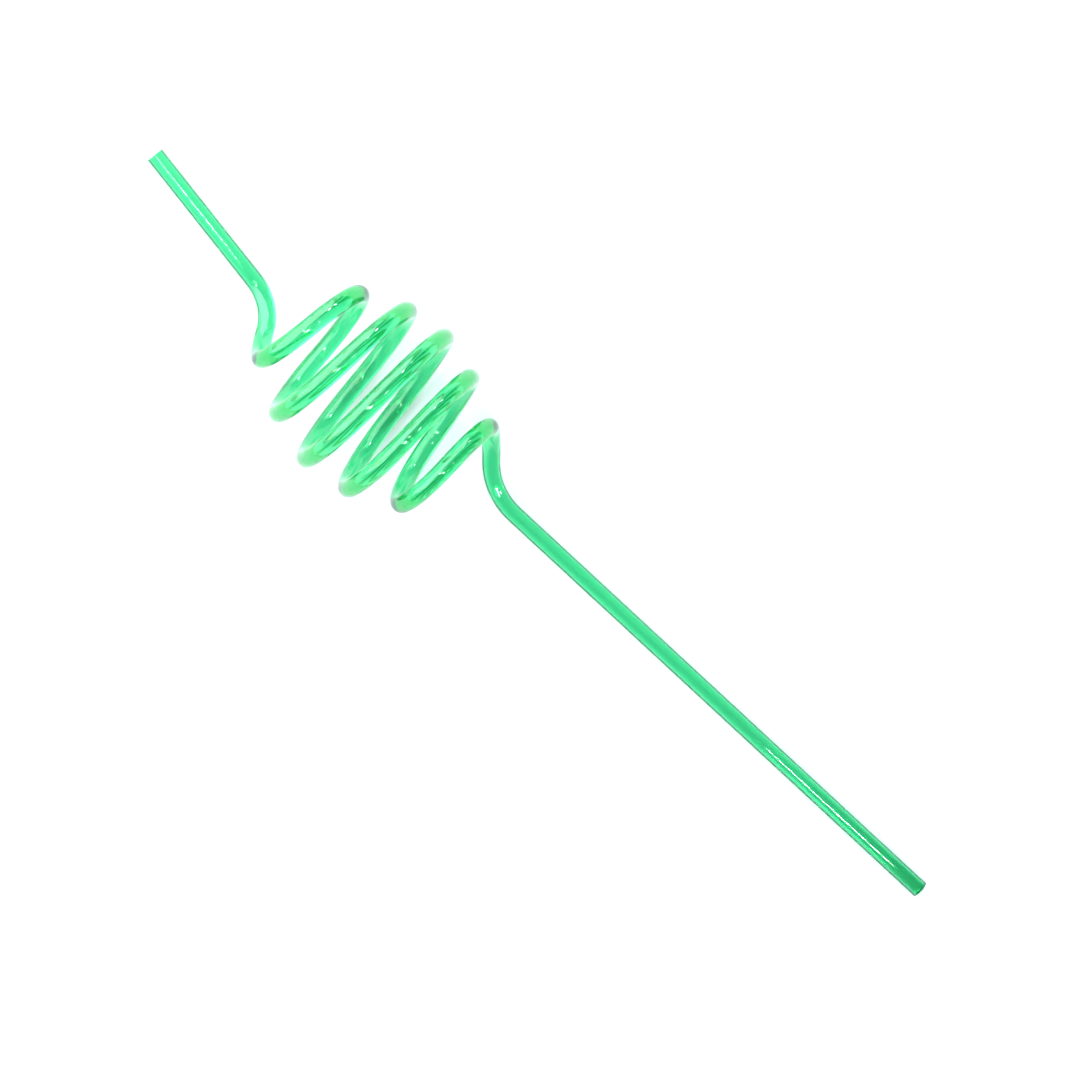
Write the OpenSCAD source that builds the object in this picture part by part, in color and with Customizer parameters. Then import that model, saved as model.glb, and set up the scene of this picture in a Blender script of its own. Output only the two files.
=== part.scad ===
// Drinking straw: one plastic tube that runs from a short mouthpiece through a
// barrel-shaped coil into a long straight stem. It lies as it comes to rest, on
// the lowest turn of the coil and the tip of the stem, with its mouth end up.
// Millimetres. +X runs along the coil's axis towards the stem's tip, +Z is up,
// and the origin is on the table under the middle of the whole straw.

/* [Tube] */
// Outer diameter of the tube
tube_d = 5; // [4:0.1:6]
// Thickness of the tube's wall
wall = 1; // [0.5:0.05:1.3]

/* [Coil] */
// Turns in the coil, which starts and ends on opposite sides of its axis
coil_turns = 4.5; // [2.5, 3.5, 4.5, 5.5]
// Distance along the coil's axis from one turn to the next
pitch = 12.7; // [10:0.1:16]
// Radius of the tube's centre line in the widest turns
mid_radius = 24.2; // [19:0.1:28]
// Radius of the tube's centre line where the coil begins and ends
end_radius = 13.4; // [10:0.1:18]
// Angle by which the coil's axis turns from one end to the other
axis_bow = 8.5; // [0.5:0.5:14]

/* [Mouthpiece] */
// Length of the straight mouthpiece
mouth_length = 42; // [20:1:80]
// Distance along X from the coil's beginning to the mouthpiece's root
mouth_run = 15.5; // [13:0.5:22]
// Sideways distance of the mouthpiece's root from the coil's axis
mouth_offset = 1.9; // [0:0.1:4]
// Depth of the mouthpiece's root below the coil's axis
mouth_drop = 14; // [12:0.5:16]
// Angle between the mouthpiece and the coil's axis, seen from above
mouth_yaw = 10; // [0:1:20]
// Angle by which the mouthpiece rises towards its tip
mouth_rise = 6; // [0:1:12]

/* [Stem] */
// Length of the straight stem
stem_length = 153; // [100:1:220]
// Distance along X from the coil's end to the stem's root
stem_run = 21.5; // [16:0.5:26]
// Sideways distance of the stem's root from the coil's axis
stem_offset = 1.6; // [0:0.1:4]
// Depth of the stem below the coil's axis
stem_drop = 14; // [12:0.5:16]
// Angle between the stem and the coil's axis, seen from above
stem_yaw = 1; // [-3:0.5:3]

/* [Hidden] */
$fn = 48;

tube_r = tube_d / 2;
bore_r = tube_r - wall;

// Bends are by turns a hair thicker and thinner than the straight tubes and
// overlap end to end, so that each joint is one wall inside another.
skin_step = 0.03;
overlap = 0.3;

// The coil's half turns run between stations on alternate sides of its axis,
// which is itself an arc in the plane of the stations.
half_turns = 2 * coil_turns;
bow_radius = coil_turns * pitch / (axis_bow * PI / 180);

function side(i) = i % 2 == 0 ? -1 : 1;
function along_coil(i) = i / half_turns - 0.5;
function axis_angle(i) = axis_bow * along_coil(i);

// Half a cosine wave gives the coil its barrel shape
function turn_radius(i) = end_radius + (mid_radius - end_radius) * cos(180 * along_coil(i));

function station(i) =
    let (reach = bow_radius - side(i) * turn_radius(i))
    [reach * sin(axis_angle(i)), bow_radius - reach * cos(axis_angle(i)), 0];

// The tube climbs or dives through the plane of the stations, and leans along
// the coil's axis by the lead of a helix.
function station_heading(i) =
    let (lead = atan(pitch / (2 * PI * turn_radius(i))))
    [sin(lead) * cos(axis_angle(i)), sin(lead) * sin(axis_angle(i)), -side(i) * cos(lead)];

mouth_heading = [
    cos(mouth_rise) * cos(mouth_yaw),
    -cos(mouth_rise) * sin(mouth_yaw),
    -sin(mouth_rise)
];
mouth_root = [station(0).x - mouth_run, mouth_offset, -mouth_drop];
mouth_tip = mouth_root - mouth_length * mouth_heading;

stem_heading = [cos(stem_yaw), -sin(stem_yaw), 0];
stem_root = [station(half_turns).x + stem_run, stem_offset, -stem_drop];
stem_tip = stem_root + stem_length * stem_heading;

// Each knot is a point of the centre line and the tube's heading there
coil_knots = [for (i = [0 : half_turns]) [station(i), station_heading(i)]];
knots = [[mouth_root, mouth_heading], each coil_knots, [stem_root, stem_heading]];

function unit(v) = v / norm(v);

// Knot at which two smoothly joined arcs meet on the way from knot a to knot b
function meeting(a, b) =
    let (
        chord = b[0] - a[0],
        lean = chord * (a[1] + b[1]),
        spread = 2 - 2 * a[1] * b[1],
        reach = (sqrt(lean * lean + spread * chord * chord) - lean) / spread,
        near = a[0] + reach * a[1],
        far = b[0] - reach * b[1]
    )
    [(near + far) / 2, unit(far - near)];

// Each bend is an arc from a knot to a point
bends = [
    for (k = [1 : len(knots) - 1])
        let (middle = meeting(knots[k - 1], knots[k]))
        each [[knots[k - 1], middle[0]], [middle, knots[k][0]]]
];

// The straw tips towards the stem until the stem's tip is as low as the lowest
// of the turns that pass under the coil's axis.
low_points = [for (i = [1 : 2 : half_turns - 2]) meeting(coil_knots[i], coil_knots[i + 1])[0]];
rest_pitch = max([for (p = low_points) atan2(stem_tip.z - p.z, stem_tip.x - p.x)]);

function at_rest(v) = [
    v.x * cos(rest_pitch) + v.z * sin(rest_pitch),
    v.y,
    v.z * cos(rest_pitch) - v.x * sin(rest_pitch)
];
function rim_reach(heading) = tube_r * sqrt(1 - at_rest(heading).x ^ 2);

// Middle of the straw's extent in X and Y, and its height on the table
station_ys = [for (k = coil_knots) k[0].y];
middle_x = (at_rest(mouth_tip).x - rim_reach(mouth_heading)
    + at_rest(stem_tip).x + rim_reach(stem_heading)) / 2;
middle_y = (min(station_ys) + max(station_ys)) / 2;
table_z = at_rest(stem_tip).z - tube_r;

module tube_section(skin) {
    difference() {
        circle(r = tube_r - skin);
        circle(r = bore_r + skin);
    }
}

// Tube bent along the one arc that leaves start with its heading and ends at finish
module bent_tube(start, finish, skin) {
    chord = finish - start[0];
    along = start[1];
    aside = chord - (chord * along) * along;
    radius = chord * chord / (2 * norm(aside));
    sweep = 2 * atan2(norm(aside), chord * along);
    outward = -unit(aside);
    normal = cross(outward, along);
    centre = start[0] - radius * outward;
    extra = overlap / radius * 180 / PI;

    multmatrix([
        [outward.x, along.x, normal.x, centre.x],
        [outward.y, along.y, normal.y, centre.y],
        [outward.z, along.z, normal.z, centre.z],
        [0, 0, 0, 1]
    ])
        rotate([0, 0, -extra])
            rotate_extrude(angle = sweep + 2 * extra)
                translate([radius, 0])
                    tube_section(skin);
}

module straight_tube(start, heading, length) {
    translate(start)
        rotate([0, acos(heading.z), atan2(heading.y, heading.x)])
            linear_extrude(length)
                tube_section(0);
}

module straw() {
    color("mediumseagreen")
        translate([-middle_x, -middle_y, -table_z])
            rotate([0, rest_pitch, 0]) {
                straight_tube(mouth_tip, mouth_heading, mouth_length);
                for (k = [0 : len(bends) - 1])
                    bent_tube(bends[k][0], bends[k][1], skin_step * (k % 2 - 0.5));
                straight_tube(stem_root, stem_heading, stem_length);
            }
}

straw();
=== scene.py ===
"""Looks of a coiled drinking straw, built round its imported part.

One clear green tube with a true bore runs from the mouthpiece through a barrel-shaped
coil into the stem. It lies at rest on a pale light table in a softly lit room.
"""

import logging
import math
from dataclasses import dataclass, field
from enum import Enum

import bmesh
import bpy
from bmesh.types import BMesh, BMEdge, BMVert
from mathutils import Matrix, Vector


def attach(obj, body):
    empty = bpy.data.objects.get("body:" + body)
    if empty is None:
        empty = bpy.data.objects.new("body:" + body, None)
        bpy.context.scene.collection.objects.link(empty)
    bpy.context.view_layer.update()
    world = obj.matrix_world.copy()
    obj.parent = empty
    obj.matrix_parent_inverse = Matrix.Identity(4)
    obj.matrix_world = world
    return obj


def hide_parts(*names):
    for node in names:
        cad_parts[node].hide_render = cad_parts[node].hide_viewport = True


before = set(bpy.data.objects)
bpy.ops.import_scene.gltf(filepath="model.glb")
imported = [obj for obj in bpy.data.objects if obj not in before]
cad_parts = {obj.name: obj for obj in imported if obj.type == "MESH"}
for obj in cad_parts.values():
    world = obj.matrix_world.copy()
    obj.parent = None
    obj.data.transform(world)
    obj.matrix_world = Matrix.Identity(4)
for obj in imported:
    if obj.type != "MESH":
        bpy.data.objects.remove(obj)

MM = 0.001
WALL_CROSSINGS = 24
ALONG_TUBE = "along_tube"

# The sRGB curve is straight up to its knee and a power above it
SRGB_KNEE = 0.04045
SRGB_SLOPE = 12.92
SRGB_LIFT = 0.055
SRGB_POWER = 2.4

logging.basicConfig(level=logging.INFO, format="%(name)s: %(message)s")
log = logging.getLogger("straw")


def linear_colour(code: str) -> tuple[float, float, float, float]:
    """Turns an sRGB hex colour into the linear one that shaders take.

    Args:
        code: Six hex digits, such as "3fd98c".

    Returns:
        Red, green, blue and an alpha of 1.
    """
    shares = [int(code[i : i + 2], 16) / 255 for i in (0, 2, 4)]
    linear = [
        s / SRGB_SLOPE if s <= SRGB_KNEE else ((s + SRGB_LIFT) / (1 + SRGB_LIFT)) ** SRGB_POWER
        for s in shares
    ]
    return (*linear, 1.0)


def empty_tree(owner: bpy.types.ID) -> bpy.types.NodeTree:
    """Gives a material or a world an empty node tree.

    Args:
        owner: The material or the world.

    Returns:
        Its node tree, with no node in it.
    """
    owner.use_nodes = True
    owner.node_tree.nodes.clear()
    return owner.node_tree


def add_node(
    tree: bpy.types.NodeTree, kind: str, settings: dict | None = None, **inputs: object
) -> bpy.types.Node:
    """Adds a node to a tree with its settings, its values and its links.

    Args:
        tree: The node tree.
        kind: The node's type name.
        settings: Properties of the node itself.
        **inputs: A value or an output socket for each input. Underscores stand for spaces,
            and a name of the form i0 stands for the input at that place.

    Returns:
        The new node.
    """
    node = tree.nodes.new(kind)
    for name, value in (settings or {}).items():
        setattr(node, name, value)
    for name, value in inputs.items():
        numbered = name[0] == "i" and name[1:].isdigit()
        socket = node.inputs[int(name[1:]) if numbered else name.replace("_", " ")]
        if isinstance(value, bpy.types.NodeSocket):
            tree.links.new(value, socket)
        else:
            socket.default_value = value
    return node


def add_object(name: str, data: bpy.types.ID) -> bpy.types.Object:
    """Puts an object into the scene at the origin, unturned.

    Args:
        name: Its name.
        data: Its mesh, lamp or camera.

    Returns:
        The object.
    """
    made = bpy.data.objects.new(name, data)
    bpy.context.scene.collection.objects.link(made)
    return made


def add_piece(name: str, shape: BMesh, finish: bpy.types.Material) -> bpy.types.Object:
    """Turns a finished shape into an object of one material.

    Args:
        name: The piece's name.
        shape: Its mesh in the making, which is freed.
        finish: What it is made of.

    Returns:
        The piece.
    """
    mesh = bpy.data.meshes.new(name)
    shape.to_mesh(mesh)
    shape.free()
    mesh.materials.append(finish)
    return add_object(name, mesh)


def facing(direction: Vector) -> Matrix:
    """Returns the turn that takes +Z to the direction."""
    return direction.to_track_quat("Z", "Y").to_matrix().to_4x4()


@dataclass(frozen=True)
class Knot:
    """A point of the centre line and the tube's heading there."""

    point: Vector
    heading: Vector

    def moved(self, matrix: Matrix) -> "Knot":
        """Returns the knot moved and turned by the matrix."""
        return Knot(matrix @ self.point, matrix.to_3x3() @ self.heading)

    def ahead(self, length: float) -> "Knot":
        """Returns the knot at this length further along a straight."""
        return Knot(self.point + length * self.heading, self.heading)


@dataclass(frozen=True)
class Bend:
    """One circular arc of the centre line, swept round its axis from the end of the last."""

    centre: Vector
    axis: Vector
    radius: float
    sweep: float

    @staticmethod
    def from_knot(start: Knot, finish: Vector) -> "Bend":
        """Makes the one arc that leaves a knot with its heading and ends at a point.

        Args:
            start: The knot that the arc leaves.
            finish: The point where it ends.

        Returns:
            The arc.
        """
        chord = finish - start.point
        ahead = chord.dot(start.heading)
        aside = chord - ahead * start.heading
        radius = chord.length_squared / (2 * aside.length)
        outward = -aside.normalized()
        return Bend(
            centre=start.point - radius * outward,
            axis=outward.cross(start.heading),
            radius=radius,
            sweep=2 * math.atan2(aside.length, ahead),
        )


@dataclass
class StrawPath:
    """The straw's centre line, in millimetres, with the sizes that its solid has."""

    tube_d: float = 5.0
    coil_turns: float = 4.5
    pitch: float = 12.7
    mid_radius: float = 24.2
    end_radius: float = 13.4
    axis_bow: float = math.radians(8.5)
    mouth_length: float = 42.0
    mouth_run: float = 15.5
    mouth_offset: float = 1.9
    mouth_drop: float = 14.0
    mouth_yaw: float = math.radians(10)
    mouth_rise: float = math.radians(6)
    stem_length: float = 153.0
    stem_run: float = 21.5
    stem_offset: float = 1.6
    stem_drop: float = 14.0
    stem_yaw: float = math.radians(1)
    half_turns: int = field(init=False)
    mouth_tip: Knot = field(init=False)
    stem_tip: Knot = field(init=False)
    bends: list[Bend] = field(init=False)

    def __post_init__(self) -> None:
        """Works out the bends and the tips as the straw lies at rest."""
        self.half_turns = round(2 * self.coil_turns)
        coil = [self.station(i) for i in range(self.half_turns + 1)]
        mouth_x = coil[0].point.x - self.mouth_run
        mouth_root = Knot(
            Vector((mouth_x, self.mouth_offset, -self.mouth_drop)),
            self.straight_heading(self.mouth_yaw, self.mouth_rise),
        )
        stem_x = coil[-1].point.x + self.stem_run
        stem_root = Knot(
            Vector((stem_x, self.stem_offset, -self.stem_drop)),
            self.straight_heading(self.stem_yaw, 0.0),
        )
        mouth_tip = mouth_root.ahead(-self.mouth_length)
        stem_tip = stem_root.ahead(self.stem_length)
        at_rest = self.rest_place(coil, mouth_tip, stem_tip)
        self.mouth_tip = mouth_tip.moved(at_rest)
        self.stem_tip = stem_tip.moved(at_rest)

        knots = [knot.moved(at_rest) for knot in (mouth_root, *coil, stem_root)]
        self.bends = []
        for near, far in zip(knots, knots[1:]):
            middle = self.meeting(near, far)
            self.bends += [Bend.from_knot(near, middle.point), Bend.from_knot(middle, far.point)]

    @staticmethod
    def straight_heading(yaw: float, dive: float) -> Vector:
        """Works out the heading of a straight from its angles to the coil's axis.

        Args:
            yaw: How far it turns towards -Y.
            dive: How far it points down.

        Returns:
            The heading, before the straw is tipped to rest.
        """
        level = math.cos(dive)
        return Vector((level * math.cos(yaw), -level * math.sin(yaw), -math.sin(dive)))

    def rest_place(self, coil: list[Knot], mouth_tip: Knot, stem_tip: Knot) -> Matrix:
        """Tips the straw onto its stem's tip and its lowest turn, and centres it on the table.

        Args:
            coil: The stations of the coil.
            mouth_tip: The mouthpiece's tip.
            stem_tip: The stem's tip.

        Returns:
            The turn and the shift that take the straw to rest.
        """
        low_turns = range(1, self.half_turns - 1, 2)
        low_points = [self.meeting(coil[i], coil[i + 1]).point for i in low_turns]
        lean = max(
            math.atan2(stem_tip.point.z - low.z, stem_tip.point.x - low.x) for low in low_points
        )
        tipped = Matrix.Rotation(lean, 4, "Y")
        mouth_end = mouth_tip.moved(tipped)
        stem_end = stem_tip.moved(tipped)
        back = mouth_end.point.x - self.rim_reach(mouth_end)
        front = stem_end.point.x + self.rim_reach(stem_end)
        breadth = [knot.point.y for knot in coil]
        middle_y = (min(breadth) + max(breadth)) / 2
        table_z = stem_end.point.z - self.tube_d / 2
        return Matrix.Translation((-(back + front) / 2, -middle_y, -table_z)) @ tipped

    def rim_reach(self, tip: Knot) -> float:
        """Returns how far a tip's rim reaches past its centre along X."""
        return self.tube_d / 2 * math.sqrt(1 - tip.heading.x**2)

    def station(self, i: int) -> Knot:
        """Works out where a half turn of the coil begins, on alternate sides of its axis.

        Args:
            i: Number of the half turn.

        Returns:
            The station before the straw is tipped to rest.
        """
        side = -1 if i % 2 == 0 else 1
        along_coil = i / self.half_turns - 0.5
        axis_angle = self.axis_bow * along_coil
        swell = (self.mid_radius - self.end_radius) * math.cos(math.pi * along_coil)
        turn_radius = self.end_radius + swell
        bow_radius = self.coil_turns * self.pitch / self.axis_bow
        reach = bow_radius - side * turn_radius
        lead = math.atan(self.pitch / (2 * math.pi * turn_radius))
        return Knot(
            Vector((reach * math.sin(axis_angle), bow_radius - reach * math.cos(axis_angle), 0)),
            Vector(
                (
                    math.sin(lead) * math.cos(axis_angle),
                    math.sin(lead) * math.sin(axis_angle),
                    -side * math.cos(lead),
                )
            ),
        )

    @staticmethod
    def meeting(a: Knot, b: Knot) -> Knot:
        """Finds the knot at which two smoothly joined arcs meet on the way from a to b.

        Args:
            a: The knot that the first arc leaves.
            b: The knot at which the second arc ends.

        Returns:
            The knot between them.
        """
        chord = b.point - a.point
        lean = chord.dot(a.heading + b.heading)
        spread = 2 - 2 * a.heading.dot(b.heading)
        reach = (math.sqrt(lean**2 + spread * chord.length_squared) - lean) / spread
        near, far = a.point + reach * a.heading, b.point - reach * b.heading
        return Knot((near + far) / 2, (far - near).normalized())


@dataclass(frozen=True)
class ClearPlastic:
    """Clear PET tube, extruded through a die and bent warm.

    The extruded skin is as glossy as glass. The die leaves very shallow lines along the tube,
    and warm bending leaves the coil slightly wavy, so that bright and dark streaks waver along
    it, while the straights keep straight ones.
    """

    name: str = "pet_clear_green_extruded"
    skin: str = "e0f6f0"
    tint: str = "00f2c0"
    tint_per_metre: float = 545.0
    ior: float = 1.57
    roughness: float = 0.02
    die_line_mm: float = 0.7
    die_line_length_mm: float = 250.0
    die_line_depth_mm: float = 0.02
    die_line_share: float = 0.05
    wave_mm: float = 3.6
    wave_depth_mm: float = 0.1
    waviness: float = 0.13
    coil_start_mm: float = 50.0
    coil_end_mm: float = 668.0
    fade_mm: float = 16.0
    noise_detail: float = 1.0

    def build(self) -> bpy.types.Material:
        """Makes the plastic, tinted faintly in its skin and mostly by its depth.

        Returns:
            The material.
        """
        made = bpy.data.materials.new(self.name)
        tree = empty_tree(made)
        skin = add_node(
            tree,
            "ShaderNodeBsdfPrincipled",
            Base_Color=linear_colour(self.skin),
            Roughness=self.roughness,
            IOR=self.ior,
            Transmission_Weight=1.0,
            Normal=self.relief(tree),
        )
        inside = add_node(
            tree,
            "ShaderNodeVolumeAbsorption",
            Color=linear_colour(self.tint),
            Density=self.tint_per_metre,
        )
        add_node(
            tree,
            "ShaderNodeOutputMaterial",
            Surface=skin.outputs[0],
            Volume=inside.outputs[0],
        )
        return made

    def relief(self, tree: bpy.types.NodeTree) -> bpy.types.NodeSocket:
        """Adds the die lines, which run all along the tube, and the waves of the coil.

        Args:
            tree: The material's node tree.

        Returns:
            The normal of the skin.
        """
        place = add_node(tree, "ShaderNodeUVMap", {"uv_map": ALONG_TUBE}).outputs[0]
        line_scale = (1 / self.die_line_length_mm / MM, 1 / self.die_line_mm / MM, 1.0)
        drawn = add_node(tree, "ShaderNodeMapping", Vector=place, Scale=line_scale)
        lines = add_node(
            tree,
            "ShaderNodeTexNoise",
            Vector=drawn.outputs[0],
            Scale=1.0,
            Detail=self.noise_detail,
        )
        lined = add_node(
            tree,
            "ShaderNodeBump",
            Height=lines.outputs[0],
            Strength=self.die_line_share,
            Distance=self.die_line_depth_mm * MM,
        )
        waves = add_node(
            tree,
            "ShaderNodeTexNoise",
            Vector=place,
            Scale=1 / self.wave_mm / MM,
            Detail=self.noise_detail,
        )
        wavy = add_node(
            tree,
            "ShaderNodeBump",
            Height=waves.outputs[0],
            Normal=lined.outputs[0],
            Strength=self.waviness_at(tree, place),
            Distance=self.wave_depth_mm * MM,
        )
        return wavy.outputs[0]

    def waviness_at(
        self, tree: bpy.types.NodeTree, place: bpy.types.NodeSocket
    ) -> bpy.types.NodeSocket:
        """Adds the strength of the waves, which fades out at both ends of the coil.

        Args:
            tree: The material's node tree.
            place: The place along the tube and round it, in metres.

        Returns:
            The strength of the waves at that place.
        """
        along = add_node(tree, "ShaderNodeSeparateXYZ", Vector=place)
        fading_in = add_node(
            tree,
            "ShaderNodeMapRange",
            Value=along.outputs["X"],
            From_Min=(self.coil_start_mm - self.fade_mm) * MM,
            From_Max=self.coil_start_mm * MM,
            To_Min=0.0,
            To_Max=self.waviness,
        )
        fading_out = add_node(
            tree,
            "ShaderNodeMapRange",
            Value=along.outputs["X"],
            From_Min=self.coil_end_mm * MM,
            From_Max=(self.coil_end_mm + self.fade_mm) * MM,
            To_Min=fading_in.outputs[0],
            To_Max=0.0,
        )
        return fading_out.outputs[0]


@dataclass
class StrawTube:
    """The straw itself: a tube with a true bore, swept along its centre line.

    Sizes are in millimetres.
    """

    path: StrawPath
    wall: float = 1.0
    spokes: int = 56
    bend_step: float = 1.2
    rim_margin: float = 0.5
    rim_bevel: float = 0.12
    rim_segments: int = 3
    piece_name: str = "clear_straw_tube"

    def build(self, finish: ClearPlastic) -> bpy.types.Object:
        """Sweeps both faces of the wall, closes them at the rims and dresses the tube.

        Args:
            finish: What the tube is made of.

        Returns:
            The tube's object, riding on the part's body.
        """
        shape = bmesh.new()
        shape.verts.layers.int.new("spoke")
        shape.verts.layers.float.new("along")
        mouth_rim = self.start_rings(shape)
        stem_rim, ring_places = self.sweep(shape, mouth_rim)
        self.mark(shape, mouth_rim, ring_places)
        for rim in (mouth_rim, stem_rim):
            bmesh.ops.bridge_loops(shape, edges=rim)
        bmesh.ops.bevel(
            shape,
            geom=mouth_rim + stem_rim,
            offset=self.rim_bevel * MM,
            offset_type="OFFSET",
            segments=self.rim_segments,
            profile=0.5,
            affect="EDGES",
            material=-1,
        )
        bmesh.ops.recalc_face_normals(shape, faces=shape.faces)
        self.unwrap(shape)
        tube = add_piece(self.piece_name, shape, finish.build())
        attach(tube, "root")
        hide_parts("straw")
        return tube

    def start_rings(self, shape: BMesh) -> list[BMEdge]:
        """Draws the outer ring and the bore's ring at the mouthpiece's tip.

        Args:
            shape: The mesh in the making.

        Returns:
            The edges of both rings.
        """
        spoke = shape.verts.layers.int["spoke"]
        tip = self.path.mouth_tip
        tube_r = self.path.tube_d / 2
        edges: list[BMEdge] = []
        for radius in (tube_r, tube_r - self.wall):
            ring: list[BMVert] = bmesh.ops.create_circle(
                shape,
                cap_ends=False,
                radius=radius * MM,
                segments=self.spokes,
                matrix=Matrix.Translation(tip.point * MM) @ facing(tip.heading),
            )["verts"]
            for i, vert in enumerate(ring):
                vert[spoke] = i
            edges += {edge for vert in ring for edge in vert.link_edges}
        return edges

    def sweep(self, shape: BMesh, edges: list[BMEdge]) -> tuple[list[BMEdge], list[float]]:
        """Takes the rings along the mouthpiece, round the bends and along the stem.

        A ring close behind each tip keeps the rounding of its rim from shading the straight.

        Args:
            shape: The mesh in the making.
            edges: The first rings.

        Returns:
            The edges of the last rings, and how far along the tube each ring lies.
        """
        places = [0.0]
        for length in (self.rim_margin, self.path.mouth_length - self.rim_margin):
            edges = self.go_straight(shape, edges, self.path.mouth_tip.heading, length)
            places.append(places[-1] + length)
        for bend in self.path.bends:
            length = bend.radius * bend.sweep
            steps = max(1, round(length / self.bend_step))
            grown = bmesh.ops.spin(
                shape,
                geom=edges,
                cent=bend.centre * MM,
                axis=bend.axis,
                angle=bend.sweep,
                steps=steps,
                use_duplicate=False,
            )["geom_last"]
            edges = [item for item in grown if isinstance(item, BMEdge)]
            places += [places[-1] + length * (i + 1) / steps for i in range(steps)]
        for length in (self.path.stem_length - self.rim_margin, self.rim_margin):
            edges = self.go_straight(shape, edges, self.path.stem_tip.heading, length)
            places.append(places[-1] + length)
        return edges, places

    @staticmethod
    def go_straight(
        shape: BMesh, edges: list[BMEdge], heading: Vector, length: float
    ) -> list[BMEdge]:
        """Extrudes the last rings along a straight.

        Args:
            shape: The mesh in the making.
            edges: The last rings.
            heading: The direction of the straight.
            length: Its length in millimetres.

        Returns:
            The new last rings.
        """
        grown = bmesh.ops.extrude_edge_only(shape, edges=edges)["geom"]
        verts = [item for item in grown if isinstance(item, BMVert)]
        bmesh.ops.translate(shape, verts=verts, vec=heading * (length * MM))
        return [item for item in grown if isinstance(item, BMEdge)]

    @staticmethod
    def mark(shape: BMesh, rim: list[BMEdge], places: list[float]) -> None:
        """Keeps on every ring how far along the tube it lies, before the rims are closed.

        Args:
            shape: The mesh in the making.
            rim: The edges of the first rings.
            places: How far along the tube each ring lies.
        """
        spoke, along = shape.verts.layers.int["spoke"], shape.verts.layers.float["along"]
        rings = {vert for edge in rim for vert in edge.verts}
        behind: set[BMVert] = set()
        for place in places:
            for vert in rings:
                vert[along] = place
            pairs = [(vert, edge.other_vert(vert)) for vert in rings for edge in vert.link_edges]
            onward = {other for vert, other in pairs if other[spoke] == vert[spoke]}
            rings, behind = onward - behind, rings

    def unwrap(self, shape: BMesh) -> None:
        """Lays out the tube flat in metres, along it and round it.

        Args:
            shape: The closed mesh, whose rings are marked.
        """
        spoke, along = shape.verts.layers.int["spoke"], shape.verts.layers.float["along"]
        sheet = shape.loops.layers.uv.new(ALONG_TUBE)
        rib = math.pi * self.path.tube_d / self.spokes
        for face in shape.faces:
            face.smooth = True
            steps = [vert[spoke] for vert in face.verts]
            wraps = max(steps) - min(steps) > self.spokes / 2
            for loop in face.loops:
                step = loop.vert[spoke]
                if wraps and step < self.spokes / 2:
                    step += self.spokes
                loop[sheet].uv = (loop.vert[along] * MM, step * rib * MM)


@dataclass(frozen=True)
class Viewpoint:
    """The photographer's place: nearly straight above, with a long lens.

    The camera turns and leans about a pivot in the middle of the coil. In the camera's own
    axes (right, up and back) the pivot lies at pivot_in_view from the point that is straight
    ahead at the distance. Places are in millimetres.
    """

    turn: float = math.radians(-41.77)
    lean: float = math.radians(2.617)
    distance: float = 745.7
    pivot: tuple[float, float, float] = (-57.075, -0.013, 26.118)
    pivot_in_view: tuple[float, float, float] = (-41.39, 35.39, 32.75)
    focal_mm: float = 91.27
    sensor_mm: float = 36.0
    nearest_m: float = 0.01
    farthest_m: float = 20.0

    def build(self) -> bpy.types.Object:
        """Places the camera, which the scene then looks through.

        Returns:
            The camera.
        """
        view = Matrix.Rotation(self.turn, 3, "Z") @ Matrix.Rotation(self.lean, 3, "Y")
        back = view.transposed()
        from_pivot = Vector((0, 0, self.distance)) - Vector(self.pivot_in_view)
        place = back @ from_pivot + Vector(self.pivot)
        data = bpy.data.cameras.new("camera")
        data.lens = self.focal_mm
        data.sensor_width = self.sensor_mm
        data.clip_start = self.nearest_m
        data.clip_end = self.farthest_m
        camera = add_object("camera", data)
        camera.matrix_world = Matrix.Translation(place * MM) @ back.to_4x4()
        bpy.context.scene.camera = camera
        return camera


class LightShape(Enum):
    """What a lamp's face looks like."""

    PANEL = "RECTANGLE"
    BULB = "DISK"


@dataclass(frozen=True)
class Lamp:
    """A lamp that looks at the middle of the coil.

    Its bearing runs from +X towards +Y and its height up from the table, both in degrees. Its
    distance from the target and the size of its face are in metres.
    """

    name: str
    bearing: float
    height: float
    distance: float
    watts: float
    shape: LightShape = LightShape.BULB
    size: tuple[float, float] = (0.11, 0.11)
    colour: str = "ffffff"
    target: tuple[float, float, float] = (-0.055, 0.0, 0.03)

    def build(self) -> bpy.types.Object:
        """Places the lamp and aims it at its target.

        Returns:
            The lamp.
        """
        data = bpy.data.lights.new(self.name, "AREA")
        data.shape = self.shape.value
        data.size, data.size_y = self.size
        data.energy = self.watts
        data.color = linear_colour(self.colour)[:3]
        bearing, height = math.radians(self.bearing), math.radians(self.height)
        level = math.cos(height)
        towards = Vector((math.cos(bearing) * level, math.sin(bearing) * level, math.sin(height)))
        lamp = add_object(self.name, data)
        spot = Vector(self.target) + towards * self.distance
        lamp.matrix_world = Matrix.Translation(spot) @ facing(towards)
        return lamp


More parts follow.
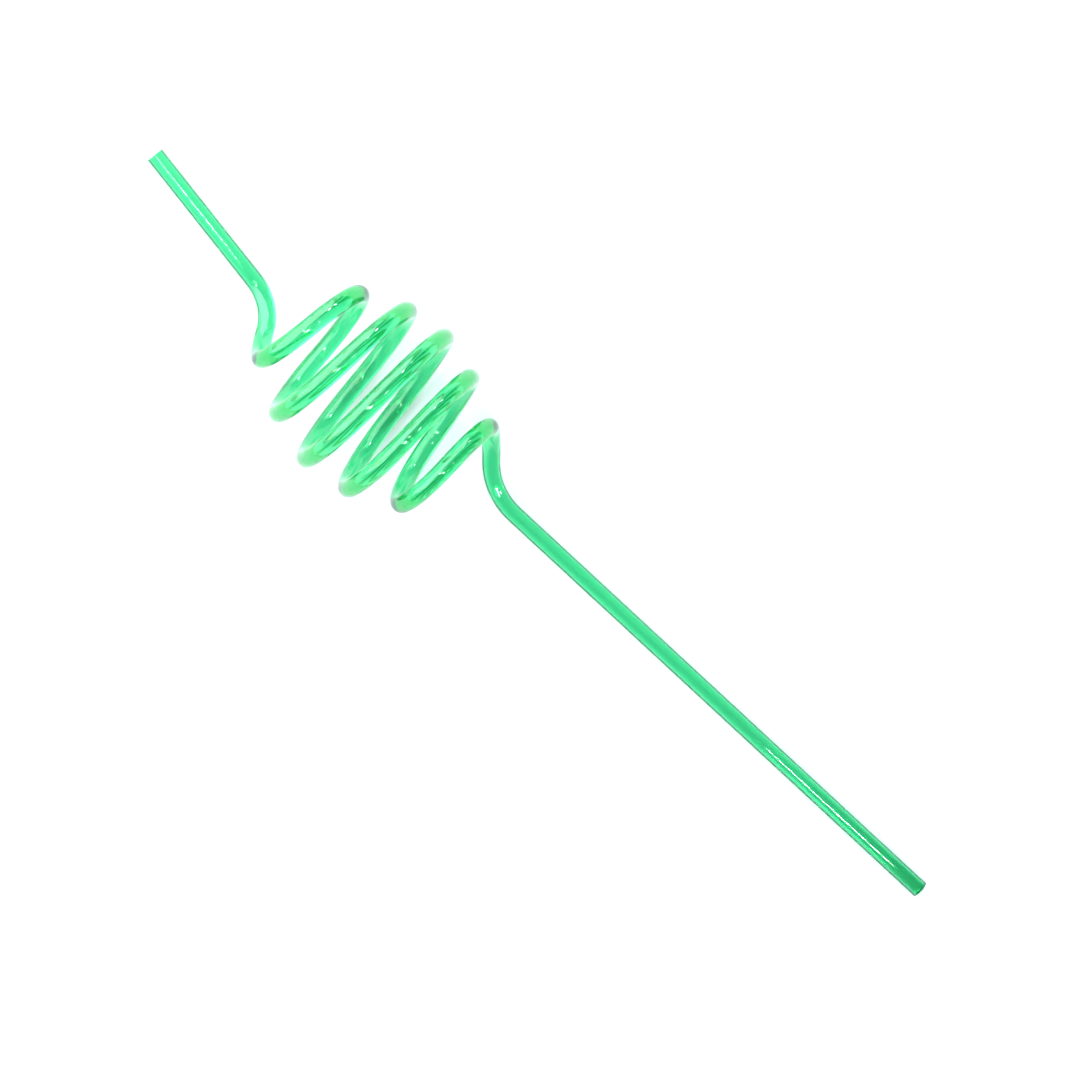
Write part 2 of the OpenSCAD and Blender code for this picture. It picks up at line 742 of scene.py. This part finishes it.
@dataclass(frozen=True)
class OpalSheet:
    """Matt opal acrylic with a faint tooth, faintly lit from below."""

    name: str = "opal_acrylic_matt"
    face: str = "b4babc"
    light: str = "d6fbf8"
    glow: float = 0.5
    roughness: float = 0.9
    sheen: float = 0.1
    tooth_mm: float = 0.6
    tooth_depth_mm: float = 0.05
    tooth_share: float = 0.05

    def build(self) -> bpy.types.Material:
        """Makes the sheet's finish.

        Returns:
            The material.
        """
        made = bpy.data.materials.new(self.name)
        tree = empty_tree(made)
        place = add_node(tree, "ShaderNodeTexCoord")
        grain = add_node(
            tree,
            "ShaderNodeTexNoise",
            Vector=place.outputs["Object"],
            Scale=1 / self.tooth_mm / MM,
        )
        tooth = add_node(
            tree,
            "ShaderNodeBump",
            Height=grain.outputs[0],
            Strength=self.tooth_share,
            Distance=self.tooth_depth_mm * MM,
        )
        face = add_node(
            tree,
            "ShaderNodeBsdfPrincipled",
            Base_Color=linear_colour(self.face),
            Roughness=self.roughness,
            Specular_IOR_Level=self.sheen,
            Emission_Color=linear_colour(self.light),
            Emission_Strength=self.glow,
            Normal=tooth.outputs[0],
        )
        add_node(tree, "ShaderNodeOutputMaterial", Surface=face.outputs[0])
        return made


@dataclass(frozen=True)
class SoftRoom:
    """The room: pale walls under a dim ceiling, dimmer towards the side of dim_bearing.

    What it gives in a direction depends on two parts of the unit vector that way: how far it
    rises, and how far it goes towards dim_bearing.
    """

    name: str = "soft_room"
    walls: str = "eef8ff"
    wall_glow: float = 0.6
    ceiling_glow: float = 0.1
    walls_end: float = 0.05
    ceiling_starts: float = 0.5
    dim_bearing: float = math.radians(45)
    dim_share: float = 0.2
    dimming_starts: float = 0.1
    dimming_ends: float = 0.8

    def build(self) -> bpy.types.World:
        """Lights the scene from all round.

        Returns:
            The world, which the scene then has.
        """
        world = bpy.data.worlds.new(self.name)
        tree = empty_tree(world)
        line = add_node(tree, "ShaderNodeTexCoord")
        turned = add_node(
            tree,
            "ShaderNodeMapping",
            Vector=line.outputs["Generated"],
            Rotation=(0, 0, -self.dim_bearing),
        )
        parts = add_node(tree, "ShaderNodeSeparateXYZ", Vector=turned.outputs[0])
        by_height = add_node(
            tree,
            "ShaderNodeMapRange",
            {"interpolation_type": "SMOOTHSTEP"},
            Value=parts.outputs["Z"],
            From_Min=self.walls_end,
            From_Max=self.ceiling_starts,
            To_Min=self.wall_glow,
            To_Max=self.ceiling_glow,
        )
        by_side = add_node(
            tree,
            "ShaderNodeMapRange",
            {"interpolation_type": "SMOOTHSTEP"},
            Value=parts.outputs["X"],
            From_Min=self.dimming_starts,
            From_Max=self.dimming_ends,
            To_Min=1.0,
            To_Max=self.dim_share,
        )
        both = add_node(
            tree,
            "ShaderNodeMath",
            {"operation": "MULTIPLY"},
            i0=by_height.outputs[0],
            i1=by_side.outputs[0],
        )
        glow = add_node(
            tree, "ShaderNodeBackground", Color=linear_colour(self.walls), Strength=both.outputs[0]
        )
        add_node(tree, "ShaderNodeOutputWorld", Surface=glow.outputs[0])
        bpy.context.scene.world = world
        return world


@dataclass(frozen=True)
class Studio:
    """A light table, with a broad window on the mouthpiece's side and six small bulbs.

    The reflections of the bulbs are the sparkles and the long white lines on the tube.
    """

    table_name: str = "white_table"
    half_width: float = 2.0
    lamps: tuple[Lamp, ...] = (
        Lamp(
            "window",
            bearing=184.0,
            height=40.0,
            distance=0.9,
            watts=51.0,
            shape=LightShape.PANEL,
            size=(2.8, 1.35),
            colour="f6fbff",
        ),
        Lamp("cream_bulb", bearing=-90.0, height=76.0, distance=1.3, watts=4.0, colour="fff0c8"),
        Lamp("near_bulb", bearing=100.0, height=44.0, distance=1.3, watts=4.0),
        Lamp("far_bulb", bearing=102.0, height=28.0, distance=1.3, watts=4.0),
        Lamp(
            "mouthpiece_bulb",
            bearing=-20.4,
            height=83.4,
            distance=1.28,
            watts=1.5,
            size=(0.08, 0.08),
            colour="fff0d8",
        ),
        Lamp("stem_bulb", bearing=-25.8, height=63.8, distance=1.335, watts=4.0, size=(0.13, 0.13)),
        Lamp("bend_bulb", bearing=20.0, height=56.4, distance=1.3, watts=3.0, size=(0.1, 0.1)),
    )

    def build(self) -> bpy.types.Object:
        """Places the table, the lamps and the room round them.

        Returns:
            The table.
        """
        sheet = bmesh.new()
        bmesh.ops.create_grid(sheet, x_segments=2, y_segments=2, size=self.half_width)
        table = add_piece(self.table_name, sheet, OpalSheet().build())
        for lamp in self.lamps:
            lamp.build()
        SoftRoom().build()
        return table


def show_light_as_it_is(scene: bpy.types.Scene) -> None:
    """Follows light through up to WALL_CROSSINGS faces, and keeps its colours plain."""
    scene.cycles.max_bounces = scene.cycles.transmission_bounces = WALL_CROSSINGS
    scene.view_settings.view_transform = "Standard"


def main() -> None:
    """Builds the camera, the straw and the studio, and sets how far light is followed."""
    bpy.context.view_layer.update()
    Viewpoint().build()
    tube = StrawTube(StrawPath()).build(ClearPlastic())
    log.info("%s: %d faces", tube.name, len(tube.data.polygons))
    table = Studio().build()
    log.info("%s is in place", table.name)
    show_light_as_it_is(bpy.context.scene)
    bpy.context.view_layer.update()


if __name__ == "__main__":
    main()
